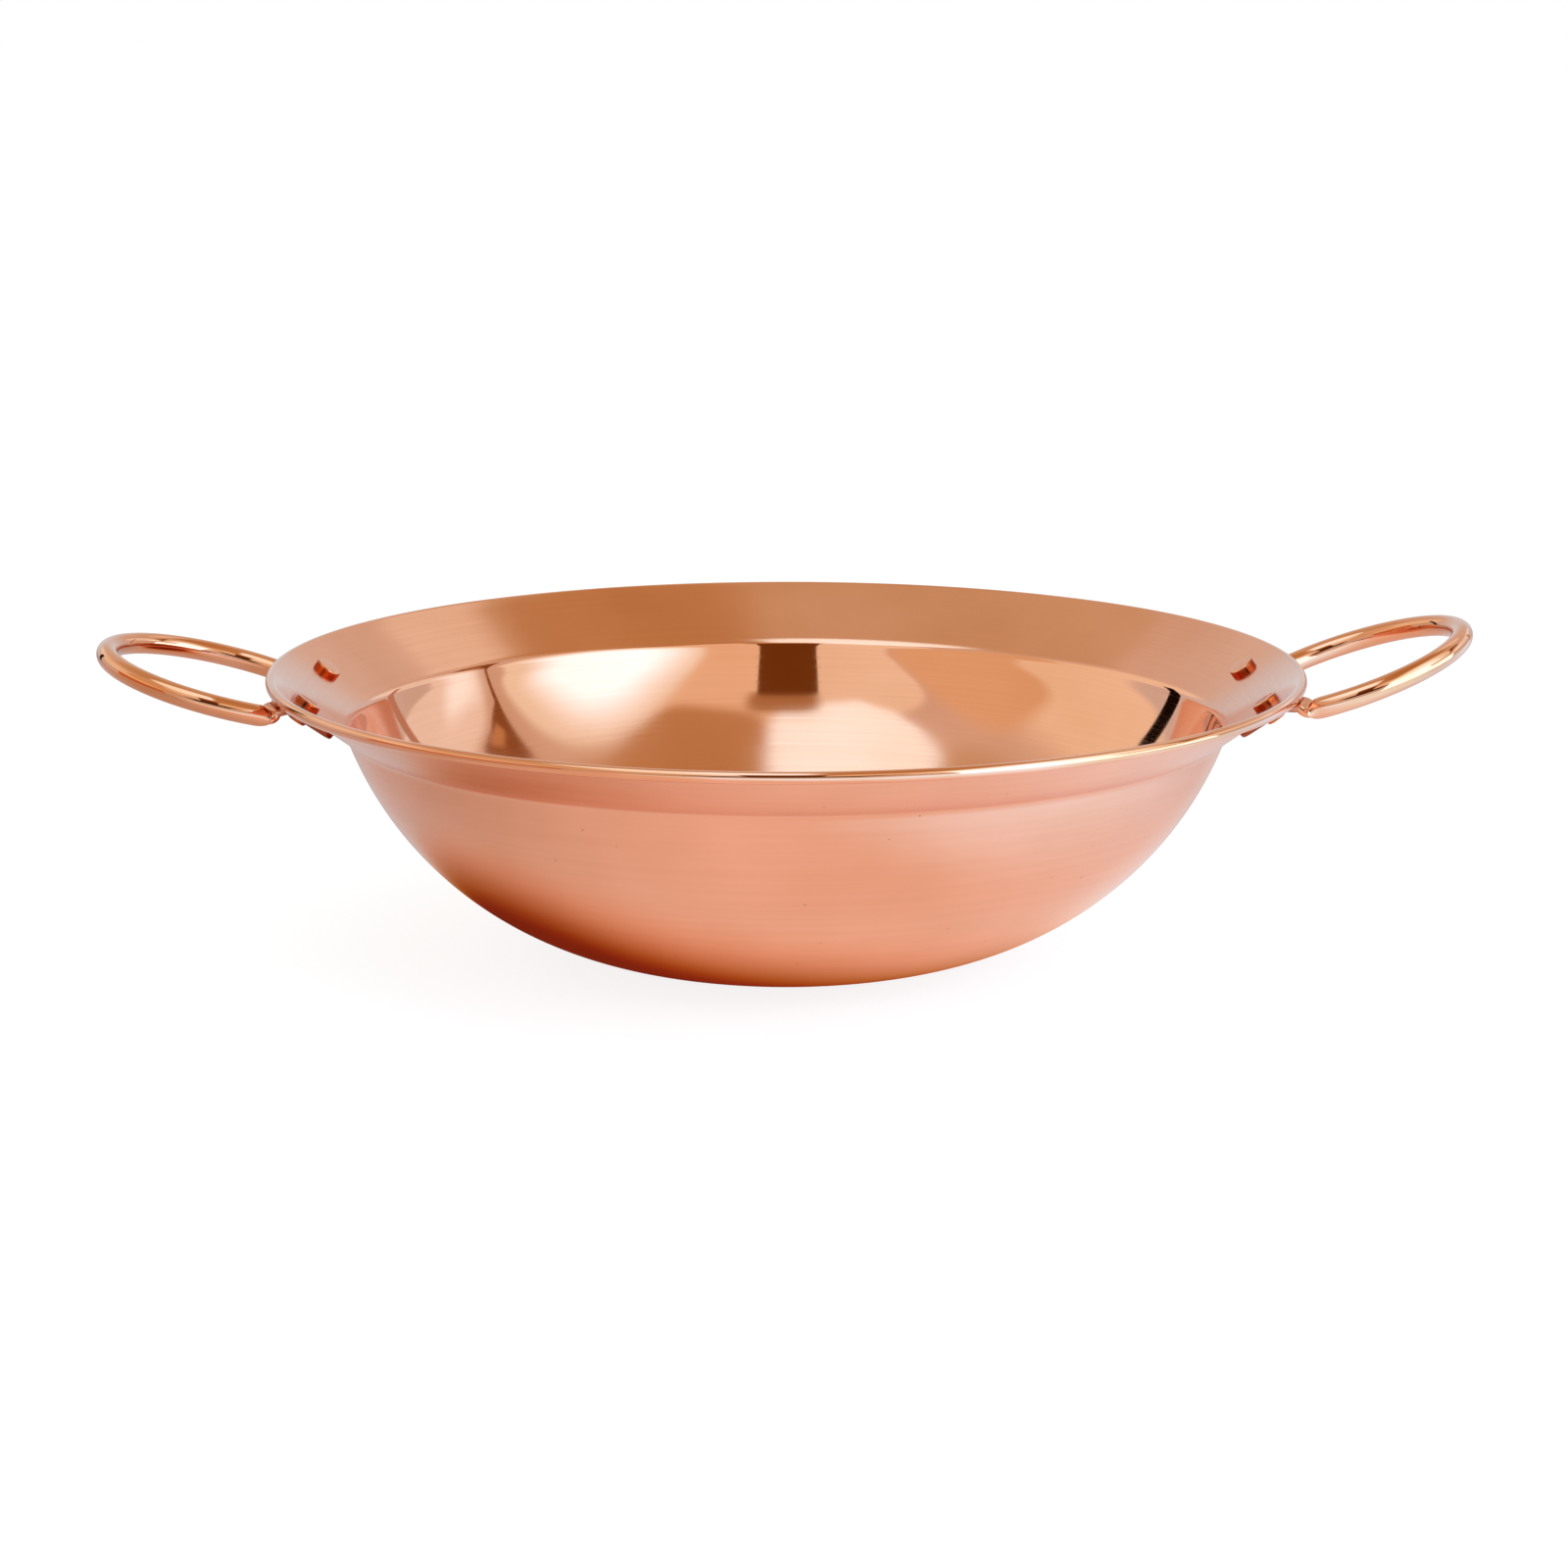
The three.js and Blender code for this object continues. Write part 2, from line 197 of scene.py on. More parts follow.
def colour(name, description, hex_colour):
    """A property for a colour, given as sRGB hex and kept linear."""
    return FloatVectorProperty(name=name, description=description, default=linear(hex_colour),
                               size=4, min=0.0, max=1.0, subtype="COLOR")


def share(name, description, value):
    """A property for a number from 0 to 1."""
    return FloatProperty(name=name, description=description, default=value, min=0.0, max=1.0,
                         subtype="FACTOR")


def lift(name, description, value):
    """A property for a level of light that may go beyond white."""
    return FloatProperty(name=name, description=description, default=value, min=0.0, max=4.0)


bowl_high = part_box("bowl")[1]


class BowlSizes(bpy.types.PropertyGroup):
    """Sizes of the pressed bowl; those along the sheet are taken at mid thickness."""
    rim_diameter: length("Rim diameter", "Over the rolled rim", 2 * bowl_high.x / MM)
    height: length("Height", "Table to the top of the rim", bowl_high.z / MM)
    base_diameter: length("Base diameter", "Flat that stands on the table", 52)
    flange_width: length("Flange width", "Corner of the mouth out to the rim's edge", 18.25)
    flange_drop: length("Flange drop", "Top of the rim down to the corner of the mouth", 13)
    mouth_bend: length("Mouth bend", "Radius that rounds the corner of the mouth", 4)
    sheet: length("Sheet", "Thickness of the metal", 1)
    bead_diameter: length("Bead diameter", "Rolled rim, turned under from the flange", 2.6)


class RivetSizes(bpy.types.PropertyGroup):
    """Sizes of the rivets and their places on the flange."""
    spread: length("Spread", "Between the two rivets of one handle", 43.6)
    inset: length("Inset", "Rivet centre in from the rim's edge", 8.5)
    shank_diameter: length("Shank diameter", "Through flange and tang", 3)
    head_diameter: length("Head diameter", "On the flange's upper face", 6.2)
    head_height: length("Head height", "Above the flange", 1.38)
    tail_diameter: length("Tail diameter", "Formed under the tang", 4.8)
    tail_height: length("Tail height", "Below the tang", 1)
    head_edge: length("Head edge", "Radius that rounds the edge of a head or a tail", 0.6)
    seat_gap: length("Seat gap", "Left between two faces that are pressed together", 0.02)


class HandleSizes(bpy.types.PropertyGroup):
    """Sizes of the two bent wires."""
    wire_diameter: length("Wire diameter", "Of the bow", 5)
    right_rise: angle("Right rise", "Climb of the right bow away from the rim", 20)
    left_rise: angle("Left rise", "Climb of the left bow away from the rim", 15.5)
    right_pass: length("Right pass", "Rim's underside down to the right wire", 1.6)
    left_pass: length("Left pass", "Rim's underside down to the left wire", 2.4)
    toe_in: angle("Toe-in", "Lean of a handle's two ends towards the pot's axis", 23)
    right_bend: length("Right bend", "The right bow's bend starts this far outside the rim's edge", 2.95)
    left_bend: length("Left bend", "The left bow's bend starts this far outside the rim's edge", 2.45)
    right_nose: length("Right nose", "The right wire's nose starts this far outside the rim's edge", 1.5)
    left_nose: length("Left nose", "The left wire's nose starts this far outside the rim's edge", 0.2)
    nose_length: length("Nose length", "From there to the full round wire", 2.5)
    neck_width: length("Neck width", "Flat neck between tang and nose", 6.5)
    neck_lift: length("Neck lift", "Middle of the neck above the line of the wire's middle", 2)
    tang_width: length("Tang width", "Of the flattened end", 10.6)
    tang_thickness: length("Tang thickness", "Of tang and neck", 2.2)
    tang_end: length("Tang end", "Rivet centre to the tip of the tang", 6.8)
    tang_corner: length("Tang corner", "Radius of the tip's corners", 2.6)


class Finishes(bpy.types.PropertyGroup):
    """Colours and gloss of the plated metal."""
    plate: colour("Plate", "Copper plating on the bowl and the rivets", "#EBA484")
    plate_deep: colour("Plate, deeper", "Where the plating lies a little thicker", "#E39B78")
    wire: colour("Wire", "Copper plating on the drawn wire", "#EBA482")
    wire_deep: colour("Wire, deeper", "Where the plating on the wire lies thicker", "#DC8E60")
    # Painted shade: a dark red for the wire's ends under the flange, and for the sides of the rivets
    tang: colour("Tang", "Ends of the wire, darkened by painted shade under the flange", "#9C4526")
    # Painted shade: a deep red-orange for the sides of the rivet heads and tails
    scale: colour("Scale", "Painted shade, at the sides of the rivet heads", "#D9591E")
    satin: share("Satin roughness", "Brushed outside of the bowl, and sides of the rivets", 0.22)
    fine_satin: share("Fine satin roughness", "Brushed upper face of the flange, and rivet heads", 0.16)
    polish: share("Polish roughness", "Buffed inside of the bowl, near the mouth", 0.05)
    bright: share("Bright roughness", "Drawn and buffed wire, and the rolled rim", 0.06)


class StageSettings(bpy.types.PropertyGroup):
    """Camera, floor and light."""
    floor: colour("Floor", "Matt paint of the seamless floor, before its lift", "#828282")
    floor_lift: share("Floor lift", "White that the floor adds of its own to the eye", 0.86)
    metal_lift: lift("Floor lift in metal", "White that the metal sees of the floor, near the light", 2.9)
    metal_low: lift("Floor lift in metal, low", "The same, far from the light", 1.05)
    floor_dim: colour("Floor in metal, low", "Tint of that white, far from the light", "#FFFCFE")
    floor_lit: colour("Floor in metal, lit", "Tint of that white, near the light", "#A9D8FF")
    sky: colour("Sky", "Walls round the stage", "#E3F3FC")
    backdrop: colour("Backdrop", "What the camera sees in place of those walls", "#FFFFFF")
    camera_place: FloatVectorProperty(
        name="Camera place", description="Where the camera stands", size=3, unit="LENGTH",
        subtype="TRANSLATION", default=(-7.7 * MM, -884.8 * MM, 232 * MM))
    camera_aim: FloatVectorProperty(
        name="Camera aim", description="Point in the middle of the picture", size=3, unit="LENGTH",
        subtype="TRANSLATION", default=(-0.5 * MM, 0, 39.1 * MM))
    lens: FloatProperty(name="Lens", description="Focal length on a 36 mm sensor", default=88.95,
                        min=1.0, subtype="DISTANCE_CAMERA", unit="CAMERA")


def new_object(name, mesh):
    """An object in the scene that holds a mesh."""
    piece = bpy.data.objects.new(name, mesh)
    bpy.context.scene.collection.objects.link(piece)
    return piece


def mesh_of(shape, name):
    """A bmesh as a smooth mesh whose faces point out; only edges that turn sharply stay sharp."""
    bmesh.ops.recalc_face_normals(shape, faces=shape.faces)
    mesh = bpy.data.meshes.new(name)
    shape.to_mesh(mesh)
    shape.free()
    mesh.shade_smooth()
    mesh.set_sharp_from_angle(angle=SHARP_TURN)
    return mesh


def spun(profile, turns):
    """A shape turned round Z from (radius, height, slot) points that start and end on the axis."""
    shape = bmesh.new()
    around = [2 * math.pi * i / turns for i in range(turns)]
    rings = []
    for radius, height, _ in profile:
        if radius < ON_AXIS:
            rings.append([shape.verts.new((0, 0, height))] * turns)
            continue
        circle = [(radius * math.cos(turn), radius * math.sin(turn), height) for turn in around]
        rings.append([shape.verts.new(point) for point in circle])
    for (lower, upper), (_, _, slot) in zip(zip(rings, rings[1:]), profile):
        for i in range(turns):
            j = (i + 1) % turns
            corners = list(dict.fromkeys([lower[i], lower[j], upper[j], upper[i]]))
            face = shape.faces.new(corners)
            face.material_index = slot
    return shape


def flange_line(bowl):
    """Centre of the rolled rim, corner of the mouth, and slope of the flange, which runs over the roll."""
    bead = Vector((bowl.rim_diameter - bowl.bead_diameter, 2 * bowl.height - bowl.bead_diameter)) / 2
    mouth = Vector((bowl.rim_diameter / 2 - bowl.flange_width, bowl.height - bowl.flange_drop))
    along = bead - mouth
    above = (bowl.bead_diameter - bowl.sheet) / 2
    return bead, mouth, math.atan2(along.y, along.x) + math.asin(above / along.length)


def sheet_line(bowl):
    """Steps along the sheet's mid line from the axis to the rolled rim, as (place, heading)."""
    bead, mouth, slope = flange_line(bowl)
    base_edge = Vector((bowl.base_diameter / 2, bowl.sheet / 2))
    run = mouth - base_edge
    wall_radius = run.length_squared / (2 * run.y)
    wall_centre = base_edge + Vector((0, wall_radius))
    along = Vector((math.cos(slope), math.sin(slope)))
    below = Vector((along.y, -along.x))
    offset = mouth + below * bowl.mouth_bend - wall_centre
    ahead = offset.dot(along)
    reach = (wall_radius + bowl.mouth_bend) ** 2 - offset.length_squared
    to_bend = offset + along * (math.sqrt(ahead ** 2 + reach) - ahead)
    wall_end = math.atan2(to_bend.y, to_bend.x)
    bend_centre = wall_centre + to_bend

    steps = [(base_edge * Vector((i / BASE_STEPS, 1)), 0.0) for i in range(BASE_STEPS)]
    for i in range(WALL_STEPS + 1):
        turn = -RIGHT_ANGLE + (wall_end + RIGHT_ANGLE) * i / WALL_STEPS
        place = wall_centre + wall_radius * Vector((math.cos(turn), math.sin(turn)))
        steps.append((place, turn + RIGHT_ANGLE))
    wall_heading = wall_end + RIGHT_ANGLE
    for i in range(1, BEND_STEPS + 1):
        heading = wall_heading + (slope - wall_heading) * i / BEND_STEPS
        place = bend_centre + bowl.mouth_bend * Vector((-math.sin(heading), math.cos(heading)))
        steps.append((place, heading))
    flange_start = steps[-1][0]
    flange_end = mouth + along * ((bead - mouth).dot(along) - bowl.bead_diameter / 2)
    for i in range(1, FLANGE_STEPS):
        steps.append((flange_start.lerp(flange_end, i / FLANGE_STEPS), slope))
    return steps


def bowl_profile(bowl):
    """The bowl's section as (radius, height, slot) points, out underneath and back on top."""
    bead, _, slope = flange_line(bowl)
    steps = sheet_line(bowl)
    half = bowl.sheet / 2

    def face(side):
        places = []
        for place, heading in steps:
            point = place + side * half * Vector((-math.sin(heading), math.cos(heading)))
            places.append(point)
        return places

    # The roll leaves the lower face, goes round underneath and ends flush with the upper face
    bead_radius = bowl.bead_diameter / 2
    leaving = slope + math.pi - math.asin((bead_radius - bowl.sheet) / bead_radius)
    flush = slope + 2 * math.pi + RIGHT_ANGLE
    under = [(p.x, p.y, OUTSIDE) for p in face(-1)]
    rolled = []
    for i in range(BEAD_STEPS + 1):
        turn = leaving + (flush - leaving) * i / BEAD_STEPS
        point = bead + bead_radius * Vector((math.cos(turn), math.sin(turn)))
        rolled.append((point.x, point.y, RIM))
    upper = face(1)
    inside_from = BASE_STEPS + WALL_STEPS + BEND_STEPS // 2
    top = [(p.x, p.y, FLANGE if i > inside_from else INSIDE) for i, p in enumerate(upper)]
    top.reverse()
    rolled[-1] = (rolled[-1][0], rolled[-1][1], FLANGE)
    under[0] = (0.0, under[0][1], OUTSIDE)
    top[-1] = (0.0, top[-1][1], INSIDE)
    return under + rolled + top


def seat_of(bowl, rivets, side):
    """A rivet's place on the flange in its handle's own frame: X up the flange, Z square to it."""
    _, mouth, slope = flange_line(bowl)
    radius = bowl.rim_diameter / 2 - rivets.inset
    height = mouth.y + (radius - mouth.x) * math.tan(slope)
    azimuth = side * math.asin(rivets.spread / 2 / radius)
    place = Matrix.Translation((radius, 0, height))
    return Matrix.Rotation(azimuth, 4, "Z") @ place @ Matrix.Rotation(-slope, 4, "Y")


def handle_sides(handles):
    """The two handles: name, turn about the pot's axis, climb, pass, bend and nose, and rivet places."""
    right = (handles.right_rise, handles.right_pass, handles.right_bend, handles.right_nose)
    left = (handles.left_rise, handles.left_pass, handles.left_bend, handles.left_nose)
    return [
        ("right", 0.0, right, {"back": 1, "front": -1}),
        ("left", math.pi, left, {"back": -1, "front": 1}),
    ]


def rivet_profile(bowl, rivets, handles):
    """A rivet's section on its seat's frame: formed tail, shank and flat head with a rounded edge."""
    half = bowl.sheet / 2
    head_seat = half + rivets.seat_gap
    tail_seat = -half - 2 * rivets.seat_gap - handles.tang_thickness

    def cap(seat, radius, height, way):
        edge = rivets.head_edge
        points = [(radius, seat, RIVET_SIDE)]
        for i in range(EDGE_STEPS + 1):
            turn = RIGHT_ANGLE * i / EDGE_STEPS
            rise = height - edge * (1 - math.sin(turn))
            slot = RIVET_SIDE if i < EDGE_STEPS // 2 else RIVET_TOP
            points.append((radius - edge * (1 - math.cos(turn)), seat + way * rise, slot))
        return points + [(0.0, seat + way * height, RIVET_TOP)]

    tail = cap(tail_seat, rivets.tail_diameter / 2, rivets.tail_height, -1)
    shank = [(rivets.shank_diameter / 2, height, RIVET_SIDE) for height in (tail_seat, head_seat)]
    return tail[::-1] + shank + cap(head_seat, rivets.head_diameter / 2, rivets.head_height, 1)


def smooth(value, low, high):
    """A smooth step from 0 at low to 1 at high."""
    t = min(max((value - low) / (high - low), 0.0), 1.0)
    return t * t * (3 - 2 * t)


def blend(low, high, part):
    """The value that lies this part of the way from low to high."""
    return low + (high - low) * part


def distance_to_circle(start, heading, radius):
    """Distance from a point, along a heading, to a circle round the pot's axis."""
    ahead = start.dot(heading)
    return math.sqrt(ahead ** 2 - start.length_squared + radius ** 2) - ahead


def half_handle(sizes, rise, rim_pass, bend_out, nose_out):
    """Sections of half a handle in its own frame, from its tip to the crown of its bow.

    The tang lies on the flange's underside, a joggle takes it below the rolled rim, a flat neck drops to
    the line of the wire, and a blunt nose makes it round. A section is (middle, up, width, thickness).
    """
    bowl, rivets, handles = sizes.pot_bowl, sizes.pot_rivets, sizes.pot_handles
    toe = handles.toe_in
    wire = handles.wire_diameter
    flat = handles.tang_thickness
    corner = handles.tang_corner
    seat = seat_of(bowl, rivets, 1)
    tang_up = (seat.to_3x3() @ UP).normalized()
    tang = seat @ Vector((0, 0, -bowl.sheet / 2 - rivets.seat_gap - flat / 2))

    # In plan the end is a straight line out from the rivet; these are distances along it
    start = tang.to_2d()
    heading = Vector((math.cos(toe), math.sin(toe)))
    rim_radius = bowl.rim_diameter / 2
    tip = -handles.tang_end
    seat_end = rivets.tail_diameter / 2
    under_rim = distance_to_circle(start, heading, rim_radius - bowl.bead_diameter / 2)
    nose_start = distance_to_circle(start, heading, rim_radius + nose_out)
    bow_start = distance_to_circle(start, heading, rim_radius + bend_out)

    passing = start.x + heading.x * under_rim
    pass_height = bowl.height - bowl.bead_diameter - rim_pass - wire / 2 / math.cos(rise)

    def wire_height(x):
        return pass_height + (x - passing) * math.tan(rise)

    # The bow is one arc in its own tilted plane, tangent to both ends
    bow_up = Vector((-math.sin(rise), 0, math.cos(rise)))
    outward = Vector((math.cos(rise), 0, math.sin(rise)))
    bend = start + heading * bow_start
    bow_toe = math.atan(math.tan(toe) * math.cos(rise))
    bow_turn = RIGHT_ANGLE + bow_toe
    radius = bend.y / math.cos(bow_toe)
    centre = Vector((bend.x, 0, wire_height(bend.x))) + outward * radius * math.sin(bow_toe)
    crown = bow_start + radius * bow_turn

    def middle(along):
        if along > bow_start:
            turn = bow_turn - (along - bow_start) / radius
            return centre + radius * (outward * math.cos(turn) + Vector((0, math.sin(turn), 0)))
        shift = heading * along
        x, y = start + shift
        tang_height = tang.z - (tang_up.x * shift.x + tang_up.y * shift.y) / tang_up.z
        joggled = blend(tang_height, wire_height(x) + handles.neck_lift, smooth(along, seat_end, under_rim))
        return Vector((x, y, blend(joggled, wire_height(x), smooth(along, under_rim, nose_start))))

    def section(along):
        drop = smooth(along, seat_end, under_rim)
        to_round = 1 - min(max((along - nose_start) / handles.nose_length, 0.0), 1.0)
        rounding = math.sqrt(1 - to_round ** 2)
        past = max(corner - (along - tip), 0.0)
        tang_width = handles.tang_width - 2 * corner + 2 * math.sqrt(max(corner ** 2 - past ** 2, 0.0))
        width = blend(blend(tang_width, handles.neck_width, drop), wire, rounding)
        return middle(along), tang_up.lerp(bow_up, drop).normalized(), width, blend(flat, wire, rounding)

    def evenly(low, high, steps):
        return [blend(low, high, i / steps) for i in range(steps)]

    def round_end(low, reach, steps):
        return [low + reach * (1 - math.cos(turn)) for turn in evenly(0, RIGHT_ANGLE, steps)]

    places = round_end(tip, corner, TIP_STEPS) + [tip + corner]
    places += evenly(seat_end, under_rim, JOGGLE_STEPS)
    places += evenly(under_rim, nose_start, NECK_STEPS)
    places += round_end(nose_start, handles.nose_length, NOSE_STEPS)
    places += evenly(nose_start + handles.nose_length, crown, HALF_BOW_STEPS) + [crown]
    return [section(along) for along in places]


def handle_stations(sizes, bow):
    """Sections all along one handle: half of it, and its mirror image past the crown."""
    half = half_handle(sizes, *bow)
    across = Vector((1, -1, 1))
    mirrored = [(place * across, up * across, width, thick) for place, up, width, thick in half[-2::-1]]
    return half + mirrored


def lofted(stations):
    """A closed tube through sections; a flat section keeps round edges."""
    shape = bmesh.new()
    unwrapped = shape.loops.layers.uv.new(WIRE_UV)
    middles = [station[0] for station in stations]
    rings = []
    along = [0.0]
    for first, second in zip(middles, middles[1:]):
        along.append(along[-1] + (second - first).length)
    for i, (middle, up, width, thickness) in enumerate(stations):
        forward = (middles[min(i + 1, len(middles) - 1)] - middles[max(i - 1, 0)]).normalized()
        across = up.cross(forward).normalized()
        upright = forward.cross(across)
        ring = []
        for j in range(WIRE_SIDES):
            turn = 2 * math.pi * (j + 0.5) / WIRE_SIDES
            sideways = math.cos(turn) * thickness / 2
            flat = math.copysign((width - thickness) / 2, sideways)
            point = middle + across * (sideways + flat) + upright * math.sin(turn) * thickness / 2
            ring.append(shape.verts.new(point))
        rings.append(ring)
    from_end = [min(run, along[-1] - run) for run in along]
    girth = math.pi * stations[len(stations) // 2][2]
    for i, (first, second) in enumerate(zip(rings, rings[1:])):
        for j in range(WIRE_SIDES):
            k = (j + 1) % WIRE_SIDES
            side = shape.faces.new((first[j], first[k], second[k], second[j]))
            for loop, (ahead, turn) in zip(side.loops, ((0, 0), (0, 1), (1, 1), (1, 0))):
                loop[unwrapped].uv = from_end[i + ahead], girth * (j + turn) / WIRE_SIDES
    shape.faces.new(rings[0])
    shape.faces.new(rings[-1])
    return shape


def add_node(tree, kind, settings=None, links=None):
    """Adds a node, sets its properties and sockets, and links sockets to it.

    Sockets that share a name go by number: in a Mix, 2 and 3 are numbers and 6 and 7 colours; in a vector
    Map Range, 6 is the vector, 7 and 8 its range, and 9 and 10 what the range becomes.
    """
    node = tree.nodes.new(kind)
    for name, value in (settings or {}).items():
        if isinstance(name, str) and name in node.bl_rna.properties:
            setattr(node, name, value)
        else:
            node.inputs[name].default_value = value
    for name, socket in (links or {}).items():
        tree.links.new(socket, node.inputs[name])
    return node


def empty_material(name):
    """A material with no nodes yet."""
    material = bpy.data.materials.new(name)
    material.use_nodes = True
    material.node_tree.nodes.clear()
    return material


def marks_round_axis(tree, mark_length, mark_width):
    """Noise drawn out round the pot's axis, as the marks of a wheel held to a turning pot."""
    place = add_node(tree, "ShaderNodeTexCoord").outputs["Object"]
    flat = add_node(tree, "ShaderNodeVectorMath", {"operation": "MULTIPLY", 1: (1, 1, 0)}, {0: place})
    radius = add_node(tree, "ShaderNodeVectorMath", {"operation": "LENGTH"}, {0: flat.outputs[0]})
    bearing = add_node(tree, "ShaderNodeVectorMath", {"operation": "NORMALIZE"}, {0: flat.outputs[0]})
    around = add_node(tree, "ShaderNodeVectorMath", {
        "operation": "SCALE", "Scale": MARK_RADIUS / mark_length}, {0: bearing.outputs[0]})
    height = add_node(tree, "ShaderNodeSeparateXYZ", links={0: place})
    across = add_node(tree, "ShaderNodeMath", {"operation": "MULTIPLY_ADD", 1: MARK_SLANT}, {
        0: radius.outputs["Value"], 2: height.outputs["Z"]})
    steps = add_node(tree, "ShaderNodeMath", {"operation": "DIVIDE", 1: mark_width}, {0: across.outputs[0]})
    upright = add_node(tree, "ShaderNodeCombineXYZ", links={"Z": steps.outputs[0]})
    spot = add_node(tree, "ShaderNodeVectorMath", {"operation": "ADD"}, {
        0: around.outputs[0], 1: upright.outputs[0]})
    marks = add_node(tree, "ShaderNodeTexNoise", {"Scale": 1.0, "Detail": 3.0, "Roughness": 0.6}, {
        "Vector": spot.outputs[0]})
    return marks.outputs["Fac"]


def cloudy_tone(tree, tones, patch, marks, streaks):
    """Plating colour between two tones: clouds of a given size, and a share of streaks along the marks."""
    place = add_node(tree, "ShaderNodeTexCoord").outputs["Object"]
    cloud = add_node(tree, "ShaderNodeTexNoise", {"Scale": 1 / patch, "Detail": 2.0}, {"Vector": place})
    both = add_node(tree, "ShaderNodeMix", {"Factor": streaks}, {2: cloud.outputs["Fac"], 3: marks})
    depth = add_node(tree, "ShaderNodeMapRange", {
        "From Min": TONE_RANGE[0], "From Max": TONE_RANGE[1]}, {"Value": both.outputs[0]})
    tone = add_node(tree, "ShaderNodeMix", {
        "data_type": "RGBA", 6: tones[0], 7: tones[1]}, {"Factor": depth.outputs["Result"]})
    return tone.outputs[2]


def plate_tones(finishes):
    """The plating's two tones on the bowl and the rivets."""
    return finishes.plate, finishes.plate_deep


def pitted(tree, tone, pit_spacing, pit_radius):
    """A colour with a few dark pin-holes in the plating."""
    place = add_node(tree, "ShaderNodeTexCoord").outputs["Object"]
    cells = add_node(tree, "ShaderNodeTexVoronoi", {"Scale": 1 / pit_spacing}, {"Vector": place})
    edge = pit_radius / pit_spacing
    pit = add_node(tree, "ShaderNodeMapRange", {
        "From Min": edge / 2, "From Max": edge, "To Min": PIT_DEPTH, "To Max": 0.0}, {
        "Value": cells.outputs["Distance"]})
    marked = add_node(tree, "ShaderNodeMix", {"data_type": "RGBA", 7: linear(PIT_COLOUR)}, {
        "Factor": pit.outputs["Result"], 6: tone})
    return marked.outputs[2]


def finish_metal(material, tone, marks, roughness, spread, relief, anisotropy=0.0, dulling=None):
    """Ends a metal: marks vary its roughness by a spread and stand up by a relief; dulling adds to it."""
    tree = material.node_tree
    gloss = add_node(tree, "ShaderNodeMapRange", {
        "From Min": GLOSS_RANGE[0], "From Max": GLOSS_RANGE[1],
        "To Min": roughness - spread, "To Max": roughness + spread}, {"Value": marks}).outputs["Result"]
    if dulling:
        gloss = add_node(tree, "ShaderNodeMath", {"operation": "ADD"}, {0: gloss, 1: dulling}).outputs[0]
    grooves = add_node(tree, "ShaderNodeBump", {"Strength": 1.0, "Distance": relief}, {"Height": marks})
    links = {"Base Color": tone, "Roughness": gloss, "Normal": grooves.outputs["Normal"]}
    settings = {"Metallic": 1.0}
    if anisotropy:
        # Marks round the axis scatter light across themselves, a quarter turn from the tangent
        tangent = add_node(tree, "ShaderNodeTangent", {"direction_type": "RADIAL", "axis": "Z"})
        links["Tangent"] = tangent.outputs["Tangent"]
        settings.update({"Anisotropic": anisotropy, "Anisotropic Rotation": 0.25})
    metal = add_node(tree, "ShaderNodeBsdfPrincipled", settings, links)
    add_node(tree, "ShaderNodeOutputMaterial", links={"Surface": metal.outputs["BSDF"]})
    return material


def satin_outside(finishes):
    """Copper plate on steel, brushed with a fine wheel as the pot turned."""
    # The eye gets an even pink-orange sheen with faint streaks round the pot and a few pin-holes.
    # Real brush lines are near 0.05 mm: too fine to show, so they are drawn 0.5 mm wide.
    material = empty_material("copper_plate_satin_brushed")
    tree = material.node_tree
    marks = marks_round_axis(tree, mark_length=22 * MM, mark_width=0.5 * MM)
    bands = marks_round_axis(tree, mark_length=60 * MM, mark_width=2 * MM)
    tone = cloudy_tone(tree, plate_tones(finishes), patch=38 * MM, marks=bands, streaks=0.25)
    tone = pitted(tree, tone, pit_spacing=6 * MM, pit_radius=0.34 * MM)
    return finish_metal(material, tone, marks, finishes.satin, spread=0.05, relief=0.002 * MM,
                        anisotropy=0.5)


def rolled_rim(finishes):
    """Copper plate on the sheet's rolled edge, rubbed bright."""
    # The eye gets a hard bright line with darker ones beside it.
    # Real rubbing lines are too fine to show, so they are drawn 0.4 mm wide.
    material = empty_material("copper_plate_rolled_rim")
    tree = material.node_tree
    marks = marks_round_axis(tree, mark_length=30 * MM, mark_width=0.4 * MM)
    tone = cloudy_tone(tree, (finishes.plate, finishes.wire_deep), patch=25 * MM, marks=marks, streaks=0.5)
    return finish_metal(material, tone, marks, finishes.bright, spread=0.03, relief=0.001 * MM)


def satin_flange(finishes):
    """Copper plate on the flange's upper face, brushed finer than the outside."""
    # The eye gets soft-edged reflections that smear up and down the flange.
    # Real brush lines are too fine to show, so they are drawn 0.45 mm wide.
    material = empty_material("copper_plate_fine_satin")
    tree = material.node_tree
    marks = marks_round_axis(tree, mark_length=70 * MM, mark_width=0.45 * MM)
    tone = cloudy_tone(tree, plate_tones(finishes), patch=30 * MM, marks=marks, streaks=0.3)
    return finish_metal(material, tone, marks, finishes.fine_satin, spread=0.04, relief=0.0015 * MM,
                        anisotropy=0.4)


